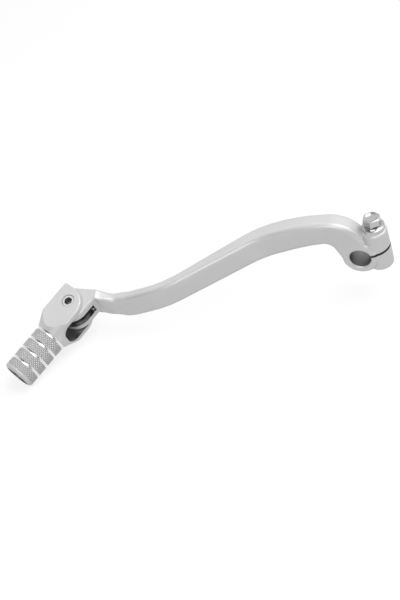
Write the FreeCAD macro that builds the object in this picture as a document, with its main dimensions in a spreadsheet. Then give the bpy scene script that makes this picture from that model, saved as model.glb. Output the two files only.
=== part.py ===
import FreeCAD, Part
import Sketcher
import math
import os

from FreeCAD import Vector

# Gear shift lever with a folding toe peg.
# Millimetres. The origin is the middle of the shift shaft's bore, Y is the shaft's axis with the rider's
# side towards -Y, Z is up along the pinch bolt, and the arm runs forward along -X.

doc = FreeCAD.newDocument("gear_shift_lever")

# Driving sizes
SIZES = [
    ("shaft_bore_diameter", 11.0),
    ("bore_mouth_chamfer", 0.5),
    ("hub_diameter", 18.6),
    ("hub_length", 14.4),
    ("hub_edge_round", 1.4),
    ("clamp_slit_width", 1.4),
    ("clamp_slit_tilt", 12.0),
    ("bolt_bore_wall", 0.3),
    ("boss_diameter", 13.2),
    ("boss_top_height", 14.0),
    ("boss_bottom_depth", 9.2),
    ("boss_edge_round", 1.6),
    ("collar_diameter", 11.4),
    ("collar_height", 1.2),
    ("pinch_thread_diameter", 5.0),
    ("pinch_hole_clearance", 0.1),
    ("pinch_flange_diameter", 11.8),
    ("pinch_flange_thickness", 1.3),
    ("pinch_flange_slope", 0.9),
    ("pinch_hex_width", 8.0),
    ("pinch_hex_height", 4.3),
    ("pinch_hex_crown", 0.5),
    ("pinch_dish_depth", 0.7),
    ("pinch_dish_rim", 1.0),
    ("pinch_end_recess", 0.5),
    ("pinch_end_chamfer", 0.5),
    ("pivot_forward", 151.8),
    ("pivot_outboard", 31.1),
    ("pivot_drop", 9.1),
    ("pivot_tilt", 18.0),
    ("peg_sweep", 237.5),
    ("arm_edge_round", 2.6),
    ("elbow_forward", 13.5),
    ("elbow_top_height", 23.0),
    ("elbow_radius", 18.5),
    ("arm_height_at_elbow", 13.0),
    ("arm_thickness_at_elbow", 10.4),
    ("inner_elbow_forward", 17.0),
    ("inner_elbow_radius", 5.0),
    ("neck_tuck", 0.25),
    ("crown_radius", 97.6),
    ("crown_forward_below", 8.4),
    ("foot_radius", 10.0),
    ("front_bend_forward", 41.6),
    ("back_bend_forward", 42.1),
    ("front_bend_length", 69.3),
    ("back_bend_length", 71.0),
    ("hub_bend_radius", 43.5),
    ("tip_bend_radius", 48.0),
    ("arm_end_reach", 26.8),
    ("arm_height_at_end", 13.8),
    ("arm_thickness_at_end", 6.6),
    ("arm_end_front_setback", 3.1),
    ("arm_end_bottom_drop", 9.9),
    ("arm_waist_dip", 0.6),
    ("arm_waist_rise", 1.0),
    ("tongue_radius", 9.3),
    ("tongue_thickness", 12.9),
    ("tongue_edge_round", 1.0),
    ("brow_round", 1.0),
    ("tongue_slot_width", 5.4),
    ("tongue_slot_back", 6.8),
    ("root_reach", 13.7),
    ("root_overlap", 4.1),
    ("root_tuck", 0.05),
    ("root_depth_below", 10.2),
    ("shoulder_radius", 10.7),
    ("stop_reach", 13.9),
    ("stop_width", 6.0),
    ("stop_height", 8.8),
    ("ear_side_gap", 0.3),
    ("ear_thickness", 2.85),
    ("ear_half_width", 8.9),
    ("ear_end_reach", 7.4),
    ("ear_square_corner", 1.4),
    ("ear_round_corner", 11.4),
    ("ear_edge_round", 0.7),
    ("throat_depth", 15.2),
    ("throat_round", 5.0),
    ("peg_diameter", 17.2),
    ("peg_length", 46.4),
    ("peg_end_round", 2.0),
    ("peg_hollow_diameter", 12.6),
    ("peg_hollow_floor", 7.2),
    ("neck_cone_start", 10.0),
    ("neck_cone_diameter", 26.4),
    ("groove_start", 20.0),
    ("end_band", 7.05),
    ("groove_width", 1.5),
    ("groove_depth", 0.5),
    ("pivot_diameter", 7.0),
    ("pivot_fit", 0.03),
    ("pivot_thread_diameter", 6.0),
    ("pivot_end_recess", 0.4),
    ("pivot_end_chamfer", 0.4),
    ("pivot_socket_width", 4.0),
    ("pivot_socket_depth", 4.0),
    ("bush_diameter", 10.0),
    ("spring_wire", 1.4),
    ("spring_bush_gap", 0.3),
    ("spring_pitch", 1.45),
    ("spring_turns", 2.25),
    ("spring_arm_leg", 8.4),
    ("spring_leg_bite", 2.4),
    ("spring_hole_gap", 0.2),
]
GROOVES = 4

sheet = doc.addObject("Spreadsheet::Sheet", "Sizes")
for row, (alias, value) in enumerate(SIZES, start=1):
    sheet.set(f"A{row}", alias)
    sheet.set(f"B{row}", str(value))
    sheet.setAlias(f"B{row}", alias)
doc.recompute()


def size(expression):
    """Value of an expression written in the sheet's own words."""
    names = {alias: float(sheet.get(alias)) for alias, value in SIZES}
    total = 0.0
    for term in expression.replace("- ", "+ -").split("+ "):
        product = 1.0
        for factor in term.strip().split(" * "):
            sign = -1.0 if factor.startswith("-") else 1.0
            word = factor.lstrip("-").strip()
            product *= sign * (names[word] if word in names else float(word))
        total += product
    return total


def bound(expression):
    """The same expression with every size tied to its cell."""
    words = expression.split(" ")
    names = {alias for alias, value in SIZES}
    tied = []
    for word in words:
        bare = word.lstrip("-")
        tied.append(word.replace(bare, "Sizes." + bare) if bare in names else word)
    return " ".join(tied)


# Sketch helpers
class Outline:
    """A run of lines and arcs in a sketch, each joint tied and each size bound to the sheet."""

    def __init__(self, body, name, plane, offset=None):
        self.sketch = body.newObject("Sketcher::SketchObject", name)
        origin = [f for f in body.Origin.OriginFeatures if f.Role == plane][0]
        self.sketch.AttachmentSupport = [(origin, "")]
        self.sketch.MapMode = "FlatFace"
        if offset:
            self.sketch.setExpression("AttachmentOffset", offset)
        self.pieces = []

    def line(self, start, end):
        index = self.sketch.addGeometry(Part.LineSegment(Vector(*start, 0), Vector(*end, 0)))
        self.pieces.append((index, 1, 2))
        return index

    def arc(self, centre, radius, start, end, left):
        """Arc from point start to point end, turning left or right about its centre."""
        first = math.atan2(start[1] - centre[1], start[0] - centre[0])
        last = math.atan2(end[1] - centre[1], end[0] - centre[0])
        if not left:
            first, last = last, first
        if last <= first:
            last += 2.0 * math.pi
        circle = Part.Circle(Vector(*centre, 0), Vector(0, 0, 1), radius)
        index = self.sketch.addGeometry(Part.ArcOfCircle(circle, first, last))
        self.pieces.append((index, 1, 2) if left else (index, 2, 1))
        return index

    def circle(self, centre, radius):
        return self.sketch.addGeometry(Part.Circle(Vector(*centre, 0), Vector(0, 0, 1), radius))

    def join(self, kinds):
        """Tie each piece to the next, and the last to the first: T for a tangent joint, C for a corner."""
        following = self.pieces[1:] + self.pieces[:1]
        for kind, piece, after in zip(kinds, self.pieces, following):
            word = "Tangent" if kind == "T" else "Coincident"
            self.sketch.addConstraint(Sketcher.Constraint(word, piece[0], piece[2], after[0], after[1]))
        self.pieces = []

    def fix(self, kind, index, point, expression):
        """Place a point at a signed distance from the sketch's origin, or on its axis for 0."""
        if expression == "0":
            axis = -2 if kind == "DistanceX" else -1
            self.sketch.addConstraint(Sketcher.Constraint("PointOnObject", index, point, axis))
            return
        made = self.sketch.addConstraint(Sketcher.Constraint(kind, index, point, size(expression)))
        self.sketch.setExpression(f"Constraints[{made}]", bound(expression))

    def at(self, index, point, across, up):
        self.fix("DistanceX", index, point, across)
        self.fix("DistanceY", index, point, up)

    def radius(self, index, expression):
        made = self.sketch.addConstraint(Sketcher.Constraint("Radius", index, size(expression)))
        self.sketch.setExpression(f"Constraints[{made}]", bound(expression))

    def level(self, index):
        self.sketch.addConstraint(Sketcher.Constraint("Horizontal", index))

    def upright(self, index):
        self.sketch.addConstraint(Sketcher.Constraint("Vertical", index))

    def centred(self, index):
        self.sketch.addConstraint(Sketcher.Constraint("Coincident", index, 3, -1, 1))

    def same_way(self, index, other):
        self.sketch.addConstraint(Sketcher.Constraint("Parallel", index, other))

    def square(self, index, other):
        self.sketch.addConstraint(Sketcher.Constraint("Perpendicular", index, other))

    def length(self, index, expression):
        made = self.sketch.addConstraint(Sketcher.Constraint("Distance", index, size(expression)))
        self.sketch.setExpression(f"Constraints[{made}]", bound(expression))

    def angle(self, index, expression):
        """Direction of a line in degrees."""
        made = self.sketch.addConstraint(Sketcher.Constraint("Angle", index, math.radians(size(expression))))
        self.sketch.setExpression(f"Constraints[{made}]", bound(expression))


def polygon(outline, corners):
    """Straight-sided outline whose corners are pairs of sheet expressions."""
    points = [(size(across), size(up)) for across, up in corners]
    lines = []
    for start, end in zip(points, points[1:] + points[:1]):
        lines.append(outline.line(start, end))
    outline.join("C" * len(lines))
    for index, (across, up) in zip(lines, corners):
        outline.at(index, 1, across, up)


def rounded_box(outline, left, right, low, high, corner):
    """Rectangle with round corners, each side and the corner radius bound to the sheet."""
    x0, x1, y0, y1, r = (size(e) for e in (left, right, low, high, corner))
    bottom = outline.line((x0 + r, y0), (x1 - r, y0))
    corners = [outline.arc((x1 - r, y0 + r), r, (x1 - r, y0), (x1, y0 + r), True)]
    east = outline.line((x1, y0 + r), (x1, y1 - r))
    corners.append(outline.arc((x1 - r, y1 - r), r, (x1, y1 - r), (x1 - r, y1), True))
    top = outline.line((x1 - r, y1), (x0 + r, y1))
    corners.append(outline.arc((x0 + r, y1 - r), r, (x0 + r, y1), (x0, y1 - r), True))
    west = outline.line((x0, y1 - r), (x0, y0 + r))
    corners.append(outline.arc((x0 + r, y0 + r), r, (x0, y0 + r), (x0 + r, y0), True))
    outline.join("TTTTTTTT")
    outline.level(bottom)
    outline.level(top)
    outline.upright(east)
    outline.upright(west)
    outline.fix("DistanceY", bottom, 1, low)
    outline.fix("DistanceY", top, 1, high)
    outline.fix("DistanceX", east, 1, right)
    outline.fix("DistanceX", west, 1, left)
    for index in corners:
        outline.radius(index, corner)


def cross_tangent(first, first_radius, second, second_radius, left_first):
    """End points of the straight run that leaves one circle and joins another on its other side."""
    across = second[0] - first[0]
    up = second[1] - first[1]
    turn = math.asin((first_radius + second_radius) / math.hypot(across, up))
    heading = math.atan2(up, across) + (turn if left_first else -turn)
    side = -1.0 if left_first else 1.0
    normal = (-math.sin(heading), math.cos(heading))
    start = (first[0] + side * first_radius * normal[0], first[1] + side * first_radius * normal[1])
    end = (second[0] - side * second_radius * normal[0], second[1] - side * second_radius * normal[1])
    return start, end


def body_named(name):
    return doc.addObject("PartDesign::Body", name)


def pad(body, outline, length, name):
    """Symmetric pad about the sketch's plane."""
    feature = body.newObject("PartDesign::Pad", name)
    feature.Profile = outline.sketch
    feature.SideType = "Symmetric"
    feature.setExpression("Length", bound(length))
    doc.recompute()
    return feature


def revolve(body, outline, axis, name):
    """Full turn about one of the sketch's own axes, H_Axis or V_Axis."""
    feature = body.newObject("PartDesign::Revolution", name)
    feature.Profile = outline.sketch
    feature.ReferenceAxis = (outline.sketch, [axis])
    feature.Angle = 360.0
    doc.recompute()
    return feature


def combine(kind, name, base, tools):
    """Cut, fuse or intersect whole solids."""
    if kind == "Part::MultiFuse":
        result = doc.addObject(kind, name)
        result.Shapes = [base] + tools
    else:
        result = doc.addObject(kind, name)
        result.Base = base
        result.Tool = tools[0]
    result.Refine = True
    doc.recompute()
    return result


def cylinder(name, radius, height, placement):
    tool = doc.addObject("Part::Cylinder", name)
    tool.setExpression("Radius", radius)
    tool.setExpression("Height", height)
    tool.setExpression("Placement", placement)
    return tool


# Frames. The tip's own axes stand at the pivot: its X runs out along the peg and its Z up the pivot bolt.
TIP_PLACE = (
    "placement(vector(-Sizes.pivot_forward; -Sizes.pivot_outboard; -Sizes.pivot_drop);"
    " rotation(vector(1; 0; 0); Sizes.pivot_tilt) * rotation(vector(0; 0; 1); Sizes.peg_sweep))"
)
PIVOT_PLACE = (
    "placement(vector(-Sizes.pivot_forward; -Sizes.pivot_outboard; -Sizes.pivot_drop);"
    " rotation(vector(1; 0; 0); Sizes.pivot_tilt))"
)
BOLT_FORWARD = "shaft_bore_diameter * 0.5 + bolt_bore_wall + pinch_thread_diameter * 0.5"


def along_tip(across, side, up):
    """Place on the tip's axes, from expressions in the sheet's words."""
    return f"{TIP_PLACE} * placement(vector({across}; {side}; {up}); rotation(vector(0; 0; 1); 0))"


def edges_where(feature, test):
    """Names of the edges that pass a test on their middle point and the normals of their two faces."""
    shape = feature.Shape
    names = []
    for number, edge in enumerate(shape.Edges, start=1):
        middle = edge.valueAt((edge.FirstParameter + edge.LastParameter) / 2)
        normals = []
        for face in shape.ancestorsOfType(edge, Part.Face):
            normals.append(face.normalAt(*face.Surface.parameter(middle)))
        if len(normals) == 2 and test(middle, *normals):
            names.append(f"Edge{number}")
    return names


def round_edges(body, feature, edges, radius, name):
    rounded = body.newObject("PartDesign::Fillet", name)
    rounded.Base = (feature, edges)
    rounded.setExpression("Radius", bound(radius))
    doc.recompute()
    return rounded


def cut_through(body, outline, name):
    """Cut an outline right through, both ways from its plane."""
    feature = body.newObject("PartDesign::Pocket", name)
    feature.Profile = outline.sketch
    feature.Type = "ThroughAll"
    feature.SideType = "Symmetric"
    doc.recompute()
    return feature


def cut_towards(body, outline, length, name, outwards):
    """Cut an outline to a length from its plane, along the plane's normal or against it."""
    feature = body.newObject("PartDesign::Pocket", name)
    feature.Profile = outline.sketch
    feature.setExpression("Length", bound(length))
    feature.Reversed = outwards
    doc.recompute()
    return feature


# Arm: the side view padded across, the plan view cut down through it, the long edges rounded
arm_blank = body_named("arm_blank")
ARM_END = "arm_end_reach - pivot_forward"
CROWN_LEVEL = "elbow_top_height - crown_radius"
FOOT_LEVEL = "arm_height_at_end + foot_radius - pivot_drop - arm_end_bottom_drop"
LOW_CROWN = "crown_radius - arm_height_at_elbow"
LOW_FOOT = "foot_radius + arm_height_at_end"
NECK_ROUND = "hub_diameter * 0.5 - neck_tuck"

foot = (size(ARM_END), size(FOOT_LEVEL))
low_crown = (size("-crown_forward_below"), size(CROWN_LEVEL))
crown = (size("-elbow_forward"), size(CROWN_LEVEL))
elbow = (size("-elbow_forward"), size("elbow_top_height - elbow_radius"))
inner_across = size("crown_forward_below - inner_elbow_forward")
inner_run = size(LOW_CROWN) - size("inner_elbow_radius")
inner_up = math.sqrt(inner_run ** 2 - inner_across ** 2)
inner = (low_crown[0] + inner_across, low_crown[1] + inner_up)
inner_start = (
    low_crown[0] + inner_across * size(LOW_CROWN) / inner_run,
    low_crown[1] + inner_up * size(LOW_CROWN) / inner_run,
)
low_start, low_end = cross_tangent(foot, size(LOW_FOOT), low_crown, size(LOW_CROWN), True)
neck_start, neck_end = cross_tangent(inner, size("inner_elbow_radius"), (0, 0), size(NECK_ROUND), False)
top_start, top_end = cross_tangent(crown, size("crown_radius"), foot, size("foot_radius"), True)
hub_low = (0.0, -size(NECK_ROUND))
elbow_start = (elbow[0] + size("elbow_radius"), elbow[1])
elbow_end = (elbow[0], size("elbow_top_height"))
end_low = (foot[0], foot[1] - size(LOW_FOOT))
end_high = (foot[0], foot[1] - size("foot_radius"))

side = Outline(arm_blank, "arm_side", "XZ_Plane")
low_foot_arc = side.arc(foot, size(LOW_FOOT), end_low, low_start, True)
side.line(low_start, low_end)
low_crown_arc = side.arc(low_crown, size(LOW_CROWN), low_end, inner_start, False)
inner_arc = side.arc(inner, size("inner_elbow_radius"), inner_start, neck_start, False)
side.line(neck_start, neck_end)
hub_arc = side.arc((0, 0), size(NECK_ROUND), neck_end, hub_low, True)
side.line(hub_low, (0.0, elbow[1]))
elbow_line = side.line((0.0, elbow[1]), elbow_start)
elbow_arc = side.arc(elbow, size("elbow_radius"), elbow_start, elbow_end, True)
crown_arc = side.arc(crown, size("crown_radius"), elbow_end, top_start, True)
side.line(top_start, top_end)
foot_arc = side.arc(foot, size("foot_radius"), top_end, end_high, False)
side.line(end_high, end_low)
side.join("TTTTTCCCTTTCC")
side.at(low_foot_arc, 3, ARM_END, FOOT_LEVEL)
side.radius(low_foot_arc, LOW_FOOT)
side.fix("DistanceX", low_foot_arc, 1, ARM_END)
side.at(low_crown_arc, 3, "-crown_forward_below", CROWN_LEVEL)
side.radius(low_crown_arc, LOW_CROWN)
side.fix("DistanceX", inner_arc, 3, "-inner_elbow_forward")
side.radius(inner_arc, "inner_elbow_radius")
side.centred(hub_arc)
side.radius(hub_arc, NECK_ROUND)
side.fix("DistanceX", hub_arc, 2, "0")
side.fix("DistanceX", elbow_line, 1, "0")
side.level(elbow_line)
side.at(elbow_arc, 3, "-elbow_forward", "elbow_top_height - elbow_radius")
side.radius(elbow_arc, "elbow_radius")
side.fix("DistanceY", elbow_arc, 1, "elbow_top_height - elbow_radius")
side.fix("DistanceX", crown_arc, 3, "-elbow_forward")
side.radius(crown_arc, "crown_radius")
side.at(foot_arc, 3, ARM_END, FOOT_LEVEL)
side.radius(foot_arc, "foot_radius")
side.fix("DistanceX", foot_arc, 1, ARM_END)
pad(arm_blank, side, "pivot_outboard * 2", "arm_side_pad")

FRONT_HUB = "hub_length * -0.5"
BACK_HUB = "arm_thickness_at_elbow - hub_length * 0.5"
FRONT_TIP = "arm_end_front_setback - pivot_outboard"
BACK_TIP = "arm_end_front_setback - pivot_outboard + arm_thickness_at_end"
FRONT_START = "-front_bend_forward"
FRONT_END = "-front_bend_forward - front_bend_length"
BACK_START = "-back_bend_forward"
BACK_END = "-back_bend_forward - back_bend_length"
PLAN_BACK = "elbow_radius + arm_edge_round - elbow_forward"

tip_bend = size("tip_bend_radius")
hub_bend = size("hub_bend_radius")
front_tip = (size(FRONT_END), size(FRONT_TIP) + tip_bend)
front_hub = (size(FRONT_START), size(FRONT_HUB) - hub_bend)
back_hub = (size(BACK_START), size(BACK_HUB) - hub_bend)
back_tip = (size(BACK_END), size(BACK_TIP) + tip_bend)
front_from, front_to = cross_tangent(front_tip, tip_bend, front_hub, hub_bend, True)
back_from, back_to = cross_tangent(back_hub, hub_bend, back_tip, tip_bend, True)

plan = Outline(arm_blank, "arm_plan", "XY_Plane")
front_tip_line = plan.line((size(ARM_END), size(FRONT_TIP)), (size(FRONT_END), size(FRONT_TIP)))
front_tip_arc = plan.arc(front_tip, tip_bend, (size(FRONT_END), size(FRONT_TIP)), front_from, True)
plan.line(front_from, front_to)
front_hub_arc = plan.arc(front_hub, hub_bend, front_to, (size(FRONT_START), size(FRONT_HUB)), False)
front_hub_line = plan.line((size(FRONT_START), size(FRONT_HUB)), (size(PLAN_BACK), size(FRONT_HUB)))
back_end_line = plan.line((size(PLAN_BACK), size(FRONT_HUB)), (size(PLAN_BACK), size(BACK_HUB)))
back_hub_line = plan.line((size(PLAN_BACK), size(BACK_HUB)), (size(BACK_START), size(BACK_HUB)))
back_hub_arc = plan.arc(back_hub, hub_bend, (size(BACK_START), size(BACK_HUB)), back_from, True)
plan.line(back_from, back_to)
back_tip_arc = plan.arc(back_tip, tip_bend, back_to, (size(BACK_END), size(BACK_TIP)), False)
back_tip_line = plan.line((size(BACK_END), size(BACK_TIP)), (size(ARM_END), size(BACK_TIP)))
plan.line((size(ARM_END), size(BACK_TIP)), (size(ARM_END), size(FRONT_TIP)))
plan.join("TTTTCCTTTTCC")
for line in (front_tip_line, front_hub_line, back_hub_line, back_tip_line):
    plan.level(line)
plan.upright(back_end_line)
plan.at(front_tip_line, 1, ARM_END, FRONT_TIP)
plan.at(back_tip_line, 2, ARM_END, BACK_TIP)
plan.at(front_hub_line, 2, PLAN_BACK, FRONT_HUB)
plan.fix("DistanceY", back_hub_line, 1, BACK_HUB)
plan.fix("DistanceX", front_tip_line, 2, FRONT_END)
plan.fix("DistanceX", front_hub_line, 1, FRONT_START)
plan.fix("DistanceX", back_hub_line, 2, BACK_START)
plan.fix("DistanceX", back_tip_line, 1, BACK_END)
for arc in (front_tip_arc, back_tip_arc):
    plan.radius(arc, "tip_bend_radius")
for arc in (front_hub_arc, back_hub_arc):
    plan.radius(arc, "hub_bend_radius")
polygon(plan, [
    ("-pivot_forward", "pivot_outboard * -2"),
    ("pivot_outboard", "pivot_outboard * -2"),
    ("pivot_outboard", "pivot_outboard * 2"),
    ("-pivot_forward", "pivot_outboard * 2"),
])
arm_cut = cut_through(arm_blank, plan, "arm_plan_cut")


def long_arm_edge(middle, first, second):
    """True where a side-view face meets a plan-view face, outside the hub."""
    for seen, above in ((first, second), (second, first)):
        if abs(seen.y) < 0.001 and abs(seen.z) > 0.05 and abs(above.z) < 0.001 and abs(above.y) > 0.05:
            return math.hypot(middle.x, middle.z) > size("hub_diameter * 0.45")
    return False


round_edges(arm_blank, arm_cut, edges_where(arm_cut, long_arm_edge), "arm_edge_round", "arm_edges")

# Twisted end: the arm's upright section turned over to the tongue's tilt
arm_twist = body_named("arm_twist")
ROOT_END = "root_reach - root_overlap - pivot_forward"
ROOT_HALF_WIDTH = "arm_thickness_at_end * 0.5 - root_tuck"
ROOT_HALF_HEIGHT = "tongue_thickness * 0.25 + root_depth_below * 0.5 - root_tuck"
ROOT_MIDDLE = "Sizes.tongue_radius - 0.5 * Sizes.arm_thickness_at_end"
ROOT_RISE = "Sizes.tongue_thickness * 0.25 - Sizes.root_depth_below * 0.5"
ARM_MIDDLE = "Sizes.arm_end_front_setback + 0.5 * Sizes.arm_thickness_at_end"
ARM_RISE = "0.5 * Sizes.arm_height_at_end - Sizes.arm_end_bottom_drop"
TILT_COS = "cos(Sizes.pivot_tilt)"
TILT_SIN = "sin(Sizes.pivot_tilt)"

# Sections along the twist, and the shares of its length where the turn begins and ends
STATIONS = 12
TURN_FROM = 0.3
TURN_TO = 0.76


def ease(amount):
    """Smooth step from 0 to 1."""
    held = min(1.0, max(0.0, amount))
    return held * held * (3.0 - 2.0 * held)


def share(expression, amount):
    """Every term of an expression times a plain number."""
    terms = expression.replace(" - ", " + -").split(" + ")
    return " + ".join(f"{term} * {amount:.3f}" for term in terms)


def between(first, second, amount):
    """Expression part of the way from one to another."""
    return share(first, 1 - amount) + " + " + share(second, amount)


sections = []
for step in range(STATIONS):
    run = step / (STATIONS - 1)
    turned_over = round(ease((run - TURN_FROM) / (TURN_TO - TURN_FROM)), 3)
    waisted = ease(run / TURN_FROM) * (1.0 - turned_over)
    upright = round(1.0 - turned_over, 3)
    outboard = (
        f"({ARM_MIDDLE}) * {upright} - Sizes.pivot_outboard"
        f" + (({ROOT_MIDDLE}) * {TILT_COS} - ({ROOT_RISE}) * {TILT_SIN}) * {turned_over}"
    )
    rise = (
        f"({ARM_RISE}) * {upright} - Sizes.pivot_drop"
        f" + (({ROOT_MIDDLE}) * {TILT_SIN} + ({ROOT_RISE}) * {TILT_COS}) * {turned_over}"
    )
    across = bound(between(ARM_END, ROOT_END, run))
    turn = bound(share("pivot_tilt", turned_over))
    place = f"placement(vector({outboard}; {rise}; {across}); rotation(vector(0; 0; 1); {turn}))"
    section = Outline(arm_twist, f"twist_section_{step}", "YZ_Plane", place)
    half_width = between("arm_thickness_at_end * 0.5", ROOT_HALF_WIDTH, turned_over)
    half_height = between("arm_height_at_end * 0.5", ROOT_HALF_HEIGHT, turned_over)
    rounded_box(
        section,
        share(half_width, -1.0),
        half_width,
        share(half_height, -1.0) + " + " + share("arm_waist_rise", waisted),
        half_height + " - " + share("arm_waist_dip", waisted),
        between("arm_edge_round", "tongue_edge_round", turned_over),
    )
    sections.append(section.sketch)
twist = arm_twist.newObject("PartDesign::AdditiveLoft", "twist_loft")
twist.Profile = sections[0]
twist.Sections = sections[1:]
twist.Ruled = True
doc.recompute()

# Round shoulder that lets the lower ear pass under the arm
shoulder = cylinder(
    "shoulder_tool",
    "Sizes.shoulder_radius",
    "Sizes.tongue_thickness",
    PIVOT_PLACE + " * placement(vector(0; 0; -1.5 * Sizes.tongue_thickness); rotation(vector(0; 0; 1); 0))",
)
arm_with_twist = combine("Part::MultiFuse", "arm_with_twist", arm_blank, [arm_twist])
arm_shouldered = combine("Part::Cut", "arm_shouldered", arm_with_twist, [shoulder])

# Tongue: a round eye about the pivot that runs back into the arm
tongue = body_named("tongue")
tongue.setExpression("Placement", TIP_PLACE)
eye = size("tongue_radius")
turn = math.radians(360.0 - size("peg_sweep"))
along = (math.cos(turn), math.sin(turn))
outward = (along[1], -along[0])
back_from = (-eye * outward[0], -eye * outward[1])
root_run = size("root_reach")
back_to = (back_from[0] + root_run * along[0], back_from[1] + root_run * along[1])
thick = size("arm_thickness_at_end")
front_to = (back_to[0] + thick * outward[0], back_to[1] + thick * outward[1])
front_reach = (front_to[1] - eye) / along[1]
corner = (front_to[0] - front_reach * along[0], eye)
brow_round = size("brow_round")
brow_run = brow_round * math.tan((math.pi - turn) / 2)
brow_end = (corner[0] + brow_run, eye)
front_from = (corner[0] + brow_run * along[0], eye + brow_run * along[1])

rim = Outline(tongue, "tongue_outline", "XY_Plane")
eye_arc = rim.arc((0, 0), eye, back_from, (0, eye), True)
brow = rim.line((0, eye), brow_end)
brow_arc = rim.arc((brow_end[0], eye + brow_round), brow_round, brow_end, front_from, False)
front_line = rim.line(front_from, front_to)
root_line = rim.line(front_to, back_to)
back_line = rim.line(back_to, back_from)
rim.join("TTTCCT")
rim.centred(eye_arc)
rim.radius(eye_arc, "tongue_radius")
rim.level(brow)
rim.radius(brow_arc, "brow_round")
rim.angle(back_line, "180 - peg_sweep")
rim.same_way(front_line, back_line)
rim.square(root_line, back_line)
rim.length(root_line, "arm_thickness_at_end")
rim.length(back_line, "root_reach")
tongue_pad = pad(tongue, rim, "tongue_thickness", "tongue_pad")


def tongue_rim(middle, first, second):
    """True round the flat faces of the tongue, save where it runs into the arm."""
    root = Vector(*along, 0)
    flat = abs(first.z) > 0.9 or abs(second.z) > 0.9
    return flat and max(abs(first.dot(root)), abs(second.dot(root))) < 0.99


round_edges(tongue, tongue_pad, edges_where(tongue_pad, tongue_rim), "tongue_edge_round", "tongue_edges")
stop = Outline(tongue, "stop_outline", "XY_Plane")
polygon(stop, [
    ("0", "-tongue_radius"),
    ("stop_reach", "-tongue_radius"),
    ("stop_reach", "stop_width - tongue_radius"),
    ("0", "stop_width - tongue_radius"),
])
pad(tongue, stop, "stop_height", "stop_pad")

# Hub and pinch boss
def drum(outline, diameter, low, high, corner):
    """Half profile of a drum with round edges, to be turned about the sketch's upright axis."""
    r, y0, y1, c = (size(e) for e in (diameter + " * 0.5", low, high, corner))
    foot_line = outline.line((0, y0), (r - c, y0))
    low_round = outline.arc((r - c, y0 + c), c, (r - c, y0), (r, y0 + c), True)
    wall = outline.line((r, y0 + c), (r, y1 - c))
    high_round = outline.arc((r - c, y1 - c), c, (r, y1 - c), (r - c, y1), True)
    head_line = outline.line((r - c, y1), (0, y1))
    outline.line((0, y1), (0, y0))
    outline.join("TTTTCC")
    outline.level(foot_line)
    outline.level(head_line)
    outline.upright(wall)
    outline.at(foot_line, 1, "0", low)
    outline.at(head_line, 2, "0", high)
    outline.fix("DistanceX", wall, 1, diameter + " * 0.5")
    outline.radius(low_round, corner)
    outline.radius(high_round, corner)


hub = body_named("hub")
hub_profile = Outline(hub, "hub_profile", "XY_Plane")
drum(hub_profile, "hub_diameter", "hub_length * -0.5", "hub_length * 0.5", "hub_edge_round")
revolve(hub, hub_profile, "V_Axis", "hub_turned")

BOLT_PLACE = f"placement(vector({bound(BOLT_FORWARD)}; 0; 0); rotation(vector(0; 0; 1); 0))"
boss = body_named("boss")
boss.setExpression("Placement", BOLT_PLACE)
boss_profile = Outline(boss, "boss_profile", "XZ_Plane")
drum(boss_profile, "boss_diameter", "-boss_bottom_depth", "boss_top_height", "boss_edge_round")
revolve(boss, boss_profile, "V_Axis", "boss_turned")
COLLAR_TOP = "Sizes.boss_top_height + Sizes.collar_height"
collar = cylinder("collar", "Sizes.collar_diameter / 2", COLLAR_TOP, BOLT_PLACE)

# Cuts in the forging: bore, slit, bolt hole and thread, spring slot and bush hole
bore = body_named("bore_tool")
bore_profile = Outline(bore, "bore_profile", "XY_Plane")
BORE_WALL = "shaft_bore_diameter * 0.5"
BORE_MOUTH = "shaft_bore_diameter * 0.5 + bore_mouth_chamfer * 2"
polygon(bore_profile, [
    ("0", "hub_length * -0.5 - bore_mouth_chamfer"),
    (BORE_MOUTH, "hub_length * -0.5 - bore_mouth_chamfer"),
    (BORE_WALL, "bore_mouth_chamfer - hub_length * 0.5"),
    (BORE_WALL, "hub_length * 0.5 - bore_mouth_chamfer"),
    (BORE_MOUTH, "hub_length * 0.5 + bore_mouth_chamfer"),
    ("0", "hub_length * 0.5 + bore_mouth_chamfer"),
])
revolve(bore, bore_profile, "V_Axis", "bore_turned")

slit = doc.addObject("Part::Box", "slit_tool")
slit.setExpression("Length", "Sizes.hub_diameter + Sizes.boss_diameter")
slit.setExpression("Width", "Sizes.hub_length * 2")
slit.setExpression("Height", "Sizes.clamp_slit_width")
slit.setExpression(
    "Placement",
    "placement(vector(0; -Sizes.hub_length; 0); rotation(vector(0; 1; 0); -Sizes.clamp_slit_tilt))"
    " * placement(vector(0; 0; -0.5 * Sizes.clamp_slit_width); rotation(vector(0; 0; 1); 0))",
)

bolt_hole = cylinder(
    "bolt_hole_tool",
    "Sizes.pinch_thread_diameter / 2 + Sizes.pinch_hole_clearance",
    "Sizes.boss_top_height * 2",
    BOLT_PLACE,
)
bolt_thread = cylinder(
    "bolt_thread_tool",
    "Sizes.pinch_thread_diameter / 2",
    "Sizes.boss_bottom_depth * 2",
    BOLT_PLACE + " * placement(vector(0; 0; -2 * Sizes.boss_bottom_depth); rotation(vector(0; 0; 1); 0))",
)

spring_slot = doc.addObject("Part::Box", "spring_slot_tool")
spring_slot.setExpression("Length", "Sizes.tongue_slot_back + Sizes.throat_depth")
spring_slot.setExpression("Width", "Sizes.tongue_radius * 4")
spring_slot.setExpression("Height", "Sizes.tongue_slot_width")
spring_slot.setExpression(
    "Placement",
    along_tip("-Sizes.tongue_slot_back", "-2 * Sizes.tongue_radius", "-0.5 * Sizes.tongue_slot_width"),
)
bush_hole = cylinder(
    "bush_hole_tool",
    "Sizes.bush_diameter / 2",
    "Sizes.tongue_thickness * 2",
    along_tip("0", "0", "-Sizes.tongue_thickness"),
)

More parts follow.
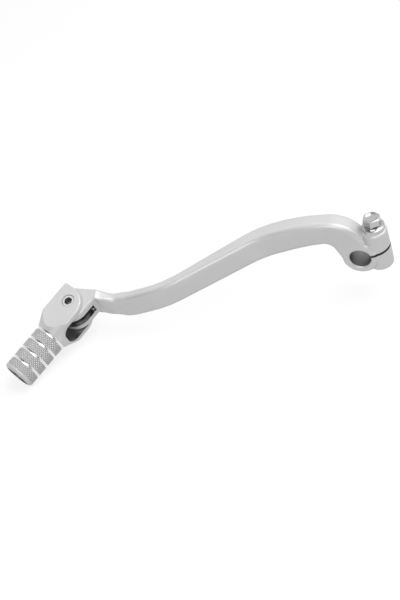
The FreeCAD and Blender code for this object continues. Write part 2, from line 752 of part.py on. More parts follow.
arm_solid = combine("Part::MultiFuse", "arm_solid", arm_shouldered, [tongue, hub, boss, collar])
cuts = [slit, bolt_hole, bolt_thread, spring_slot, bush_hole]
arm_tools = combine("Part::MultiFuse", "arm_tools", bore, cuts)
shift_arm = combine("Part::Cut", "shift_arm", arm_solid, [arm_tools])

# Folding tip: a turned peg with the fork milled in its head
EAR_TOP = "tongue_thickness * 0.5 + ear_side_gap + ear_thickness"
THROAT_HALF = "tongue_thickness * 0.5 + ear_side_gap"
BLANK_END = "-ear_end_reach - ear_round_corner"
PEG_WALL = "peg_diameter * 0.5"
GROOVE_FLOOR = "peg_diameter * 0.5 - groove_depth"
folding_tip = body_named("folding_tip")
folding_tip.setExpression("Placement", TIP_PLACE)

turned = [
    (BLANK_END, "0"),
    ("throat_depth + peg_hollow_floor", "0"),
    ("throat_depth + peg_hollow_floor", "peg_hollow_diameter * 0.5"),
    ("peg_length", "peg_hollow_diameter * 0.5"),
    ("peg_length", PEG_WALL),
]
for groove in reversed(range(GROOVES)):
    share = groove / (GROOVES - 1)
    middle = f"groove_start * {1 - share:.6f} + peg_length * {share:.6f} - end_band * {share:.6f}"
    turned += [
        (middle + " + groove_width * 0.5", PEG_WALL),
        (middle + " + groove_width * 0.5", GROOVE_FLOOR),
        (middle + " - groove_width * 0.5", GROOVE_FLOOR),
        (middle + " - groove_width * 0.5", PEG_WALL),
    ]
turned += [("neck_cone_start", "neck_cone_diameter * 0.5"), (BLANK_END, "neck_cone_diameter * 0.5")]
peg_profile = Outline(folding_tip, "peg_profile", "XY_Plane")
polygon(peg_profile, turned)
peg_turned = revolve(folding_tip, peg_profile, "H_Axis", "peg_turned")


def peg_end_edge(middle, first, second):
    outside = math.hypot(middle.y, middle.z) > size("peg_diameter * 0.5") - 0.01
    return outside and abs(middle.x - size("peg_length")) < 0.01


round_edges(folding_tip, peg_turned, edges_where(peg_turned, peg_end_edge), "peg_end_round", "peg_end")

ear_low = size("-ear_half_width")
ear_high = size("ear_half_width")
ear_end = size("-ear_end_reach")
square = size("ear_square_corner")
easy = size("ear_round_corner")
beyond = size("peg_length + ear_round_corner")
ears = Outline(folding_tip, "ear_outline", "XY_Plane")
low_side = ears.line((ear_end + square, ear_low), (beyond, ear_low))
peg_side = ears.line((beyond, ear_low), (beyond, ear_high))
high_side = ears.line((beyond, ear_high), (ear_end + easy, ear_high))
easy_middle = (ear_end + easy, ear_high - easy)
easy_arc = ears.arc(easy_middle, easy, (ear_end + easy, ear_high), (ear_end, ear_high - easy), True)
end_side = ears.line((ear_end, ear_high - easy), (ear_end, ear_low + square))
square_middle = (ear_end + square, ear_low + square)
square_arc = ears.arc(square_middle, square, (ear_end, ear_low + square), (ear_end + square, ear_low), True)
ears.join("CCTTTT")
for line in (low_side, high_side):
    ears.level(line)
for line in (peg_side, end_side):
    ears.upright(line)
ears.at(low_side, 2, "peg_length + ear_round_corner", "-ear_half_width")
ears.fix("DistanceY", high_side, 1, "ear_half_width")
ears.fix("DistanceX", end_side, 1, "-ear_end_reach")
ears.radius(easy_arc, "ear_round_corner")
ears.radius(square_arc, "ear_square_corner")
polygon(ears, [
    (BLANK_END + " - ear_end_reach", "-neck_cone_diameter"),
    ("peg_length * 2", "-neck_cone_diameter"),
    ("peg_length * 2", "neck_cone_diameter"),
    (BLANK_END + " - ear_end_reach", "neck_cone_diameter"),
])
cut_through(folding_tip, ears, "ear_sides_cut")

flats = Outline(folding_tip, "ear_flats", "XZ_Plane")
polygon(flats, [
    (BLANK_END, "-" + EAR_TOP.replace(" + ", " - ")),
    ("peg_length + ear_round_corner", "-" + EAR_TOP.replace(" + ", " - ")),
    ("peg_length + ear_round_corner", EAR_TOP),
    (BLANK_END, EAR_TOP),
])
polygon(flats, [
    (BLANK_END + " - ear_end_reach", "-neck_cone_diameter"),
    ("peg_length * 2", "-neck_cone_diameter"),
    ("peg_length * 2", "neck_cone_diameter"),
    (BLANK_END + " - ear_end_reach", "neck_cone_diameter"),
])
ear_block = cut_through(folding_tip, flats, "ear_flats_cut")


def ear_rim(middle, first, second):
    """True round the flat faces of the ears, as far as the neck's cone."""
    flat = abs(first.z) > 0.999 or abs(second.z) > 0.999
    return flat and middle.x < size("neck_cone_start")


round_edges(folding_tip, ear_block, edges_where(ear_block, ear_rim), "ear_edge_round", "ear_edges")

throat = Outline(folding_tip, "throat_outline", "XZ_Plane")
half = size(THROAT_HALF)
deep = size("throat_depth")
bend = size("throat_round")
mouth = size(BLANK_END)
throat_low = throat.line((mouth, -half), (deep - bend, -half))
throat_low_arc = throat.arc((deep - bend, bend - half), bend, (deep - bend, -half), (deep, bend - half), True)
throat_wall = throat.line((deep, bend - half), (deep, half - bend))
throat_high_arc = throat.arc((deep - bend, half - bend), bend, (deep, half - bend), (deep - bend, half), True)
throat_high = throat.line((deep - bend, half), (mouth, half))
throat_mouth = throat.line((mouth, half), (mouth, -half))
throat.join("TTTTCC")
for line in (throat_low, throat_high):
    throat.level(line)
for line in (throat_wall, throat_mouth):
    throat.upright(line)
throat.at(throat_low, 1, BLANK_END, "-" + THROAT_HALF.replace(" + ", " - "))
throat.fix("DistanceY", throat_high, 1, THROAT_HALF)
throat.fix("DistanceX", throat_wall, 1, "throat_depth")
throat.radius(throat_low_arc, "throat_round")
throat.radius(throat_high_arc, "throat_round")
cut_through(folding_tip, throat, "throat_cut")


def round_hole(body, name, plane, across, up, radius):
    """Sketch with one circle, its centre and radius bound to the sheet."""
    outline = Outline(body, name, plane)
    index = outline.circle((size(across), size(up)), size(radius))
    outline.at(index, 3, across, up)
    outline.radius(index, radius)
    return outline


PIVOT_HOLE = "pivot_diameter * 0.5 + pivot_fit"
SPRING_RADIUS = "bush_diameter * 0.5 + spring_bush_gap + spring_wire * 0.5"
SPRING_HALF = "spring_pitch * spring_turns * 0.5"
SPRING_LEFT = "bush_diameter * -0.5 - spring_bush_gap - spring_wire * 0.5"
LEG_HOLE = "spring_wire * 0.5 + spring_hole_gap"
upper_eye = round_hole(folding_tip, "upper_eye", "XY_Plane", "0", "0", PIVOT_HOLE)
cut_towards(folding_tip, upper_eye, "neck_cone_diameter", "upper_eye_cut", True)
lower_eye = round_hole(folding_tip, "lower_eye", "XY_Plane", "0", "0", "pivot_thread_diameter * 0.5")
cut_towards(folding_tip, lower_eye, "neck_cone_diameter", "lower_eye_cut", False)
leg_hole = round_hole(folding_tip, "leg_hole", "YZ_Plane", SPRING_LEFT, SPRING_HALF, LEG_HOLE)
cut_towards(folding_tip, leg_hole, "throat_depth + spring_leg_bite + spring_wire", "leg_hole_cut", True)

# Pivot bolt: shoulder screw with a hexagon socket, flush in the upper ear and threaded in the lower one


def hexagon(outline, width):
    """Regular hexagon about the sketch's origin, given the width across its flats."""
    flat = width + " * 0.5"
    point = width + " * 0.57735"
    low_flat = width + " * -0.5"
    low_point = width + " * -0.57735"
    half_point = width + " * 0.288675"
    low_half = width + " * -0.288675"
    polygon(outline, [
        ("0", low_point),
        (flat, low_half),
        (flat, half_point),
        ("0", point),
        (low_flat, half_point),
        (low_flat, low_half),
    ])


PIVOT_TOP = EAR_TOP + " - pivot_end_recess"
PIVOT_LOW = "-" + EAR_TOP.replace(" + ", " - ") + " + pivot_end_recess"
SHOULDER_LOW = "-" + THROAT_HALF.replace(" + ", " - ")
pivot_bolt = body_named("pivot_bolt")
pivot_bolt.setExpression("Placement", TIP_PLACE)
pivot_profile = Outline(pivot_bolt, "pivot_profile", "XZ_Plane")
polygon(pivot_profile, [
    ("0", PIVOT_LOW),
    ("pivot_thread_diameter * 0.5 - pivot_end_chamfer", PIVOT_LOW),
    ("pivot_thread_diameter * 0.5", PIVOT_LOW + " + pivot_end_chamfer"),
    ("pivot_thread_diameter * 0.5", SHOULDER_LOW),
    ("pivot_diameter * 0.5", SHOULDER_LOW),
    ("pivot_diameter * 0.5", PIVOT_TOP + " - pivot_end_chamfer"),
    ("pivot_diameter * 0.5 - pivot_end_chamfer", PIVOT_TOP),
    ("0", PIVOT_TOP),
])
revolve(pivot_bolt, pivot_profile, "V_Axis", "pivot_turned")
socket = Outline(
    pivot_bolt, "socket", "XY_Plane",
    f"placement(vector(0; 0; {bound(PIVOT_TOP)} - Sizes.pivot_socket_depth); rotation(vector(0; 0; 1); 0))",
)
hexagon(socket, "pivot_socket_width")
cut_towards(pivot_bolt, socket, "pivot_socket_depth * 2", "socket_cut", True)

# Pivot bush: a plain sleeve as long as the tongue is thick
pivot_bush = body_named("pivot_bush")
pivot_bush.setExpression("Placement", TIP_PLACE)
bush_profile = Outline(pivot_bush, "bush_profile", "XZ_Plane")
polygon(bush_profile, [
    (PIVOT_HOLE, "tongue_thickness * -0.5"),
    ("bush_diameter * 0.5", "tongue_thickness * -0.5"),
    ("bush_diameter * 0.5", "tongue_thickness * 0.5"),
    (PIVOT_HOLE, "tongue_thickness * 0.5"),
])
revolve(pivot_bush, bush_profile, "V_Axis", "bush_turned")

# Return spring: coils round the bush, one leg along the slot's end and one into the tip
return_spring = body_named("return_spring")
return_spring.setExpression("Placement", TIP_PLACE)
SPRING_LOW = "spring_pitch * spring_turns * -0.5"
wire = round_hole(return_spring, "coil_wire", "XZ_Plane", SPRING_LEFT, SPRING_LOW, "spring_wire * 0.5")
coil = return_spring.newObject("PartDesign::AdditiveHelix", "coil")
coil.Profile = wire.sketch
coil.ReferenceAxis = (wire.sketch, ["V_Axis"])
coil.Mode = "pitch-turns-angle"
coil.setExpression("Pitch", "Sizes.spring_pitch")
coil.setExpression("Turns", "Sizes.spring_turns")
doc.recompute()
arm_leg = round_hole(return_spring, "arm_leg_wire", "XZ_Plane", SPRING_LEFT, SPRING_LOW, "spring_wire * 0.5")
arm_leg_pad = return_spring.newObject("PartDesign::Pad", "arm_leg")
arm_leg_pad.Profile = arm_leg.sketch
arm_leg_pad.Reversed = True
arm_leg_pad.setExpression("Length", "Sizes.spring_arm_leg")
doc.recompute()
tip_leg = round_hole(return_spring, "tip_leg_wire", "YZ_Plane", SPRING_LEFT, SPRING_HALF, "spring_wire * 0.5")
tip_leg_pad = return_spring.newObject("PartDesign::Pad", "tip_leg")
tip_leg_pad.Profile = tip_leg.sketch
tip_leg_pad.setExpression("Length", "Sizes.throat_depth + Sizes.spring_leg_bite")
doc.recompute()

# Pinch bolt: flanged hexagon head with a dished top, shank down through both halves of the boss
SEAT = "boss_top_height + collar_height"
FLANGE_TOP = SEAT + " + pinch_flange_thickness"
HEX_LOW = FLANGE_TOP + " + pinch_flange_slope"
HEX_TOP = HEX_LOW + " + pinch_hex_height"
pinch_bolt = body_named("pinch_bolt")
pinch_bolt.setExpression("Placement", BOLT_PLACE)
pinch_profile = Outline(pinch_bolt, "pinch_profile", "XZ_Plane")
polygon(pinch_profile, [
    ("0", "pinch_end_recess - boss_bottom_depth"),
    ("pinch_thread_diameter * 0.5 - pinch_end_chamfer", "pinch_end_recess - boss_bottom_depth"),
    ("pinch_thread_diameter * 0.5", "pinch_end_recess - boss_bottom_depth + pinch_end_chamfer"),
    ("pinch_thread_diameter * 0.5", SEAT),
    ("pinch_flange_diameter * 0.5", SEAT),
    ("pinch_flange_diameter * 0.5", FLANGE_TOP),
    ("pinch_hex_width * 0.57735", HEX_LOW),
    ("pinch_hex_width * 0.57735", HEX_TOP + " - pinch_hex_crown"),
    ("pinch_hex_width * 0.5", HEX_TOP),
    ("pinch_hex_width * 0.5 - pinch_dish_rim", HEX_TOP),
    ("pinch_hex_width * 0.5 - pinch_dish_rim - pinch_dish_depth", HEX_TOP + " - pinch_dish_depth"),
    ("0", HEX_TOP + " - pinch_dish_depth"),
])
revolve(pinch_bolt, pinch_profile, "V_Axis", "pinch_turned")
head = Outline(
    pinch_bolt, "hexagon_head", "XY_Plane",
    f"placement(vector(0; 0; {bound(FLANGE_TOP)}); rotation(vector(0; 0; 1); 0))",
)
hexagon(head, "pinch_hex_width")
rim_index = head.circle((0, 0), size("pinch_flange_diameter"))
head.centred(rim_index)
head.radius(rim_index, "pinch_flange_diameter")
cut_towards(pinch_bolt, head, "pinch_hex_height * 3", "hexagon_cut", True)

# Every object is checked, then each piece is written
doc.recompute()
for item in doc.Objects:
    if "Invalid" in item.State or "Error" in item.State:
        raise RuntimeError(f"{item.Name} did not build")
os.makedirs("parts", exist_ok=True)
for piece in (shift_arm, folding_tip, pivot_bolt, pivot_bush, return_spring, pinch_bolt):
    shape = piece.Shape
    if shape.isNull() or not shape.isValid() or len(shape.Solids) != 1:
        raise RuntimeError(f"{piece.Label} is not one sound solid")
    shape.exportStep(f"parts/{piece.Label}.step")
    print(piece.Label, round(shape.Volume, 1), shape.BoundBox)
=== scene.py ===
# %% [markdown]
# # Gear shift lever with a folding toe peg
# The lever is clamped on the gearbox's shift shaft and the rider's toe works the knurled peg. Its forged arm is
# cranked outwards past the engine case, and the peg folds on a sprung hinge when it hits the ground.
# The model stands in the part's own frame: the origin in the shaft's bore, Y along the shaft, Z up the clamp bolt.

# %% Load the part
import math

import bmesh
import bpy
from mathutils import Matrix, Vector


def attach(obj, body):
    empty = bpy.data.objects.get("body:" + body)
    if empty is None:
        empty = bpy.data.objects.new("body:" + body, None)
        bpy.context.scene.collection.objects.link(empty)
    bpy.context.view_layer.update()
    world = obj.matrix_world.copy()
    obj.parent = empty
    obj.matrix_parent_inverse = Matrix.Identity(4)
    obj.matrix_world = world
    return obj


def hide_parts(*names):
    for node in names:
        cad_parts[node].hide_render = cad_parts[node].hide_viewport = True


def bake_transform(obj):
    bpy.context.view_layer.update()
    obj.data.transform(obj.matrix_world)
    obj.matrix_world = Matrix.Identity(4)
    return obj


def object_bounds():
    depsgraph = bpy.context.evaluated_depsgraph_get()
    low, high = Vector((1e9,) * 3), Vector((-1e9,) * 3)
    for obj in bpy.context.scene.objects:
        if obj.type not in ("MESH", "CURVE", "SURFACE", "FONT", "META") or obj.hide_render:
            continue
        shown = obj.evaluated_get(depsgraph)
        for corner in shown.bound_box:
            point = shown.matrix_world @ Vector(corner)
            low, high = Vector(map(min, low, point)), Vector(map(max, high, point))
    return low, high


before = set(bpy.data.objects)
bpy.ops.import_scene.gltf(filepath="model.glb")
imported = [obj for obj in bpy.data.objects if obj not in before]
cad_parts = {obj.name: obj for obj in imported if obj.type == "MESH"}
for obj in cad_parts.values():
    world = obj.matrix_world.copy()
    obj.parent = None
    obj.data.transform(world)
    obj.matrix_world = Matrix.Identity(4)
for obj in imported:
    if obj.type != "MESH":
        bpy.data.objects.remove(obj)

MM = 0.001
cad_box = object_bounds()
print("nodes", sorted(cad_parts))

# %% [markdown]
# ## Finishes
# The forging and the tip are blasted with fine beads and then silver anodised. That leaves a pale satin skin, a
# little cloudy in tone, whose tiny dimples scatter light. It could be painted as one grey, but then close views look
# like plastic. Here a broad noise shifts the tone, and a fine one drives the relief and the roughness.

# %% Finish helper
CLOUD_SCALE = 45.0
CLOUD_ENDS = (0.3, 0.7)
COOL = 1.01
ROUGHNESS_SPREAD = 0.15
RELIEF_STRENGTH = 0.5


def finish(name, tones, metallic, roughness, grain, depth):
    """Metal skin between two greys, with a grain of so many dimples per metre and so deep a relief in metres."""
    material = bpy.data.materials.new(name)
    material.use_nodes = True
    nodes = material.node_tree.nodes
    links = material.node_tree.links
    shader = nodes["Principled BSDF"]
    shader.inputs["Metallic"].default_value = metallic
    place = nodes.new("ShaderNodeTexCoord")
    cloud = nodes.new("ShaderNodeTexNoise")
    cloud.name = "cloud"
    cloud.inputs["Scale"].default_value = CLOUD_SCALE
    links.new(place.outputs["Object"], cloud.inputs["Vector"])
    tone = nodes.new("ShaderNodeValToRGB")
    tone.name = "tone"
    for stop, end, grey in zip(tone.color_ramp.elements, CLOUD_ENDS, tones):
        stop.position = end
        stop.color = (grey, grey, grey * COOL, 1.0)
    links.new(cloud.outputs["Fac"], tone.inputs["Fac"])
    links.new(tone.outputs["Color"], shader.inputs["Base Color"])
    speck = nodes.new("ShaderNodeTexNoise")
    speck.inputs["Scale"].default_value = grain
    speck.inputs["Detail"].default_value = 3.0
    links.new(place.outputs["Object"], speck.inputs["Vector"])
    spread = nodes.new("ShaderNodeMapRange")
    spread.inputs["To Min"].default_value = roughness * (1 - ROUGHNESS_SPREAD)
    spread.inputs["To Max"].default_value = roughness * (1 + ROUGHNESS_SPREAD)
    links.new(speck.outputs["Fac"], spread.inputs["Value"])
    links.new(spread.outputs["Result"], shader.inputs["Roughness"])
    relief = nodes.new("ShaderNodeBump")
    relief.name = "relief"
    relief.inputs["Strength"].default_value = RELIEF_STRENGTH
    relief.inputs["Distance"].default_value = depth
    links.new(speck.outputs["Fac"], relief.inputs["Height"])
    links.new(relief.outputs["Normal"], shader.inputs["Normal"])
    return material


print("finish helper ready")

# %% [markdown]
# The other skins are metal that was cut, plated or ground. They share the same nodes and differ in their numbers.
# Milled and drilled walls have no anodised skin, and their tones are set darker still as painted shade, since they
# lie in bores, slots and hollows. Ground steel, plate and spring wire are smoother, so they mirror the studio.

# %% Plain finishes
blasted = finish("blasted_silver", (0.67, 0.72), metallic=0.25, roughness=0.36, grain=2200.0, depth=0.03 * MM)
milled_shade = finish("milled_bare_shade", (0.36, 0.42), metallic=1.0, roughness=0.30, grain=1200.0, depth=0.01 * MM)
deep_shade = finish("deep_bare_shade", (0.20, 0.26), metallic=0.8, roughness=0.45, grain=1200.0, depth=0.02 * MM)
plated = finish("zinc_plate", (0.44, 0.52), metallic=1.0, roughness=0.20, grain=900.0, depth=0.02 * MM)
ground = finish("ground_steel", (0.74, 0.80), metallic=1.0, roughness=0.24, grain=1800.0, depth=0.01 * MM)
wire = finish("spring_wire", (0.55, 0.62), metallic=1.0, roughness=0.20, grain=2500.0, depth=0.01 * MM)
print("plain finishes", [material.name for material in bpy.data.materials])

# %% [markdown]
# Two finishes on the peg follow its shape, so they read values that the peg's own points will carry. The knurl is
# painted darker down in its grooves, as painted shade. The bright bands are cut by a lathe tool, whose feed
# leaves rings so fine that they only stretch the highlights.

# %% Finishes that follow the peg
knurled = finish("knurled_silver", (0.42, 0.70), metallic=0.25, roughness=0.48, grain=3000.0, depth=0.02 * MM)
nodes = knurled.node_tree.nodes
links = knurled.node_tree.links
# The tone follows the knurl's height, so the grooves are painted shade.
diamond = nodes.new("ShaderNodeAttribute")
diamond.attribute_name = "diamond"
links.new(diamond.outputs["Fac"], nodes["tone"].inputs["Fac"])
nodes.remove(nodes["cloud"])

turned = finish("turned_bright", (0.70, 0.76), metallic=1.0, roughness=0.18, grain=1500.0, depth=0.01 * MM)
nodes = turned.node_tree.nodes
links = turned.node_tree.links
feed = nodes.new("ShaderNodeAttribute")
feed.attribute_name = "feed"
ring = nodes.new("ShaderNodeMath")
ring.operation = "SINE"
links.new(feed.outputs["Fac"], ring.inputs[0])
links.new(ring.outputs[0], nodes["relief"].inputs["Height"])
print("finishes", len(bpy.data.materials))

# %% [markdown]
# ## Turning worked faces into pieces
# Every piece is worked out as loose faces, joined where they meet, and given soft shading that still breaks at its
# real edges. A copy of a solid starts as loose triangles, so it is joined up first.

# %% Face helpers
WELD = 0.002 * MM


def open_edges(work):
    """Edges with a face on one side only, which bound a hole."""
    return [edge for edge in work.edges if len(edge.link_faces) == 1]


def everything(work):
    """All that a cutting plane may have to cut."""
    return work.verts[:] + work.edges[:] + work.faces[:]


def from_solid(node):
    """Faces of a CAD node, joined up."""
    work = bmesh.new()
    work.from_mesh(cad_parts[node].data)
    bmesh.ops.remove_doubles(work, verts=work.verts, dist=WELD)
    return work


def shade(work, crease):
    """Join the faces, turn them outwards and keep only edges sharper than the crease, in degrees, as breaks."""
    bmesh.ops.remove_doubles(work, verts=work.verts, dist=WELD)
    bmesh.ops.recalc_face_normals(work, faces=work.faces)
    for face in work.faces:
        face.smooth = True
    for edge in work.edges:
        edge.smooth = len(edge.link_faces) == 2 and edge.calc_face_angle() < math.radians(crease)


print("face helpers ready")

# %% [markdown]
# A finished piece gets its skins, takes the place of its plain solid, and then rides on the arm or on the folding
# tip. Weighted normals let the broad faces lead the shading, which is lighter than adding loops beside every edge.


# %% Piece helpers
def piece(name, work, skins, node):
    """Named object made from the worked faces, standing in for a CAD node."""
    data = bpy.data.meshes.new(name)
    work.to_mesh(data)
    work.free()
    for skin in skins:
        data.materials.append(skin)
    made = bpy.data.objects.new(name, data)
    bpy.context.scene.collection.objects.link(made)
    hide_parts(node)
    print(name, len(data.polygons), "faces")
    return made


def even_shading(made):
    """Let the broad faces lead the shading, so that flats stay flat beside their rounded edges."""
    lead = made.modifiers.new("even_shading", "WEIGHTED_NORMAL")
    lead.keep_sharp = True


print("piece helpers ready")

# %% [markdown]
# The fold's pivot is tilted, and the peg points aside from the arm. Everything at that end is easier to place in a
# frame of its own, whose X runs along the peg and whose Z is the pivot. One matrix leads from there to the lever.

# %% Hinge frame
PIVOT = Vector((-151.8, -31.1, -9.1)) * MM
tilt = Matrix.Rotation(math.radians(18.0), 4, "X")
sweep = Matrix.Rotation(math.radians(237.5), 4, "Z")
TIP = Matrix.Translation(PIVOT) @ tilt @ sweep
INTO_TIP = TIP.inverted()
along_peg = TIP.to_3x3() @ Vector((1, 0, 0))
along_pivot = TIP.to_3x3() @ Vector((0, 0, 1))
print("peg points along", tuple(round(part, 3) for part in along_peg))

# %% [markdown]
# ## Shift arm
# One aluminium forging: the split hub, its clamp boss, the neck, the cranked arm and the slotted tongue.
# It could be modelled again from a box, but the solid already carries its true curves and rounded edges, so a copy of
# it is joined up and softly shaded.
#
# The far shoulder, where the tongue grows out of the arm, is dressed by hand on a belt after forging, which rounds it
# a little more than the solid. The points round it slide inwards in the tongue's own plane, most at the corner and
# less and less away from it, so that the flats stay flat. The belt also takes off the hair-thin ledge at the tongue's
# root, so the ledge's two rims are joined first.

# %% Dressed shoulder
SHOULDER = Vector((-15.4, 9.4)) * MM
DRESSED_REACH = 8.0 * MM
DRESSED_DEPTH = 1.8 * MM
ROOT_PLACE = -138.1 * MM
ROOT_SLACK = 0.01 * MM
LEDGE = 0.16 * MM

work = from_solid("shift_arm")
rims = [point for point in work.verts if abs(point.co.x - ROOT_PLACE) < ROOT_SLACK]
before = len(work.verts)
bmesh.ops.remove_doubles(work, verts=rims, dist=LEDGE)
print("rim points", len(rims), "joined", before - len(work.verts))
moved = 0
for point in work.verts:
    reach = ((INTO_TIP @ point.co).xy - SHOULDER).length / DRESSED_REACH
    if reach < 1:
        point.co += along_peg * DRESSED_DEPTH * (1 - reach * reach) ** 2
        moved += 1
print("shoulder points", moved)

# %% [markdown]
# The bore, the slit and the tongue's slot are cut after blasting, so their walls are bare metal. Their skins are set
# darker still, as painted shade in these narrow recesses. They could be split off as pieces, but it is enough to find
# them by where they lie and to give those faces another skin.

# %% Shift arm
BORE_WALL = 5.65 * MM
SLIT_HALF = 0.75 * MM
SLIT_TURN = Matrix.Rotation(math.radians(12.0), 4, "Y")
SLOT_HALF = 2.75 * MM
SLOT_REACH = 9.1 * MM
FORGED_CREASE = 28.0

shade(work, FORGED_CREASE)
bare = 0
for face in work.faces:
    middle = face.calc_center_median()
    in_bore = middle.xz.length < BORE_WALL
    in_slit = middle.x > 0 and abs((SLIT_TURN @ middle).z) < SLIT_HALF
    at_hinge = INTO_TIP @ middle
    in_slot = at_hinge.xy.length < SLOT_REACH and abs(at_hinge.z) < SLOT_HALF
    # Bore, slit and slot faces get the darker skins, as painted shade.
    face.material_index = 2 if in_bore or in_slit else int(in_slot)
    bare += face.material_index > 0
forging = piece("lever_forging", work, [blasted, milled_shade, deep_shade], "shift_arm")
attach(forging, "arm")
even_shading(forging)
print("bare faces", bare)

# %% [markdown]
# ## Folding tip
# A turned and milled aluminium piece. Its fork straddles the tongue and its peg is knurled in bands between bright
# grooves. One mesh could carry it all, but the knurl needs far more points than the fork. So the fork is the solid as
# far as the first groove, cut off by a plane and capped, and the peg is a piece of its own.

# %% Fork
GROOVES = [20.0, 26.45, 32.9, 39.35]
GROOVE_HALF = 0.75
CUT_SLACK = 0.001 * MM
cut = GROOVES[0] - GROOVE_HALF

work = from_solid("folding_tip")
bmesh.ops.transform(work, matrix=INTO_TIP, verts=work.verts)
bmesh.ops.bisect_plane(
    work, geom=everything(work), dist=CUT_SLACK, plane_co=(cut * MM, 0, 0), plane_no=(1, 0, 0),
    clear_outer=True,
)
bmesh.ops.holes_fill(work, edges=open_edges(work))
print("fork", len(work.faces), "faces before rounding")

# %% [markdown]
# On the real tip the flat of each ear runs into the conical neck without an edge, because the blasting rounds it off.
# The flat's triangles are first merged into one face, and then a bevel of several strips softens that curved edge.

# %% Softened ears
FLAT_ENOUGH = math.radians(0.5)
EAR_RISE = 0.999
NECK_RISE = (0.8, 0.95)
NECK_START = 8.0 * MM
EAR_OUTER = 9.0 * MM
EAR_ROUND = 1.0 * MM

bmesh.ops.dissolve_limit(work, angle_limit=FLAT_ENOUGH, verts=work.verts[:], edges=work.edges[:])
work.normal_update()
soft = []
for edge in work.edges:
    if len(edge.link_faces) == 2:
        neck, ear = sorted(abs(face.normal.z) for face in edge.link_faces)
        middle = (edge.verts[0].co + edge.verts[1].co) / 2
        at_neck = middle.x > NECK_START and abs(middle.z) > EAR_OUTER
        if at_neck and ear > EAR_RISE and NECK_RISE[0] < neck < NECK_RISE[1]:
            soft.append(edge)
bmesh.ops.bevel(
    work, geom=soft, offset=EAR_ROUND, offset_type="OFFSET", affect="EDGES", segments=4, profile=0.5,
    clamp_overlap=True, material=-1,
)
print("softened edges", len(soft))

# %% [markdown]
# The throat between the ears is milled out after the outside is turned. Its faces are found by where they lie. The
# ears' inner flats are bare metal with a darker tone as painted shade, and the end wall, where light hardly comes,
# gets the darkest skin as painted shade.

# %% Milled throat
EAR_INNER = 6.85 * MM
THROAT_END = 15.3 * MM
FACES_ASIDE = 0.3
FACES_UP = 0.5

for face in work.faces:
    middle = face.calc_center_median()
    between = abs(middle.z) < EAR_INNER and middle.x < THROAT_END
    milled = between and abs(face.normal.y) < FACES_ASIDE
    end_wall = abs(face.normal.z) < FACES_UP
    # Inner flats and end wall take the darker skins, as painted shade.
    face.material_index = 2 if milled and end_wall else int(milled)
bmesh.ops.transform(work, matrix=TIP, verts=work.verts)
shade(work, FORGED_CREASE)
fork = piece("tip_fork", work, [blasted, milled_shade, deep_shade], "folding_tip")
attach(fork, "tip")
even_shading(fork)

# %% [markdown]
# The peg's skin is one sheet, made as a flat grid and wrapped round. Its rows run along the peg and its columns round
# it, and each point is set to the radius that the lathe or the knurling wheel leaves there. A bump in the material
# would be quicker, but the knurl shows in the outline, so it is real. First comes the list of rows, each with its
# place along the peg, its radius and, on the knurl, the way along in diamonds.

# %% Rows of the peg
PEG_RADIUS = 8.6
PEG_END = 46.4
END_ROUND = 2.0
END_STEPS = 8
GROOVE_DEPTH = 0.5
GROOVE_HOLLOW = 0.7
HALF_STEPS = 4
CORE_INSET = 0.6
DIAMONDS = 36
KNURL_PITCH = 1.5
FINE = 6

rows = [(cut, 0.0, None), (cut, PEG_RADIUS - GROOVE_DEPTH - CORE_INSET, None)]
for groove, following in zip(GROOVES, GROOVES[1:] + [PEG_END - END_ROUND + GROOVE_HALF]):
    for step in range(2 * HALF_STEPS + 1):
        side = step / HALF_STEPS - 1
        depth = GROOVE_DEPTH * (1 - GROOVE_HOLLOW * side * side)
        rows.append((groove + GROOVE_HALF * side, PEG_RADIUS - depth, None))
    start = groove + GROOVE_HALF
    end = following - GROOVE_HALF
    count = round((end - start) / KNURL_PITCH) * FINE
    for step in range(count + 1):
        rows.append((start + (end - start) * step / count, PEG_RADIUS, step / FINE))
for step in range(1, END_STEPS + 1):
    bend = math.radians(90.0 * step / END_STEPS)
    radius = PEG_RADIUS - END_ROUND * (1 - math.cos(bend))
    rows.append((PEG_END - END_ROUND * (1 - math.sin(bend)), radius, None))
print("rows outside", len(rows))

# %% [markdown]
# The peg's end is drilled out to save weight. The same sheet goes on over the rim and down the hollow, to a floor
# with a rounded corner, so that the peg is closed without a second piece.

# %% Rows of the hollow
HOLLOW_RADIUS = 6.3
HOLLOW_FLOOR = 22.4
FLOOR_ROUND = 0.6
LIP_WIDTH = 0.22
LIP_DROP = 0.1
LIP_REACH = 2.5

rows += [
    (PEG_END - LIP_DROP, HOLLOW_RADIUS + LIP_WIDTH, None),
    (PEG_END - LIP_REACH, HOLLOW_RADIUS, None),
    (HOLLOW_FLOOR + FLOOR_ROUND, HOLLOW_RADIUS, None),
    (HOLLOW_FLOOR, HOLLOW_RADIUS - FLOOR_ROUND, None),
    (HOLLOW_FLOOR, 0.0, None),
]
print("rows in all", len(rows))

# %% [markdown]
# A knurling wheel presses two crossing spirals of grooves, which leave diamonds with flattened points. Counting the
# way along and the way round in whole diamonds makes the spirals pass exactly through the grid's points.

# %% Knurl helper
FLAT_TOPS = 1.25


def knurl(along, turn):
    """Height on the knurl, from 0 in a groove to 1 on a diamond."""
    height = 1.0
    for way in (1, -1):
        phase = (DIAMONDS * turn + way * along) % 1.0
        height = min(height, 1.0 - abs(2.0 * phase - 1.0))
    return min(1.0, height * FLAT_TOPS)


print("knurl over one diamond", [round(knurl(step / FINE, 0.0), 2) for step in range(FINE + 1)])

# %% [markdown]
# Now the grid is made and wrapped. Each point also keeps its height on the knurl and its place in the tool's feed,
# which the two finishes above read. Those layers are added first, because adding one later drops the points at hand.

# %% Toe peg
KNURL_DEPTH = 0.38
TOOL_FEED = 0.15
LIP_EDGE = HOLLOW_RADIUS + LIP_WIDTH - 0.01
PEG_CREASE = 24.0

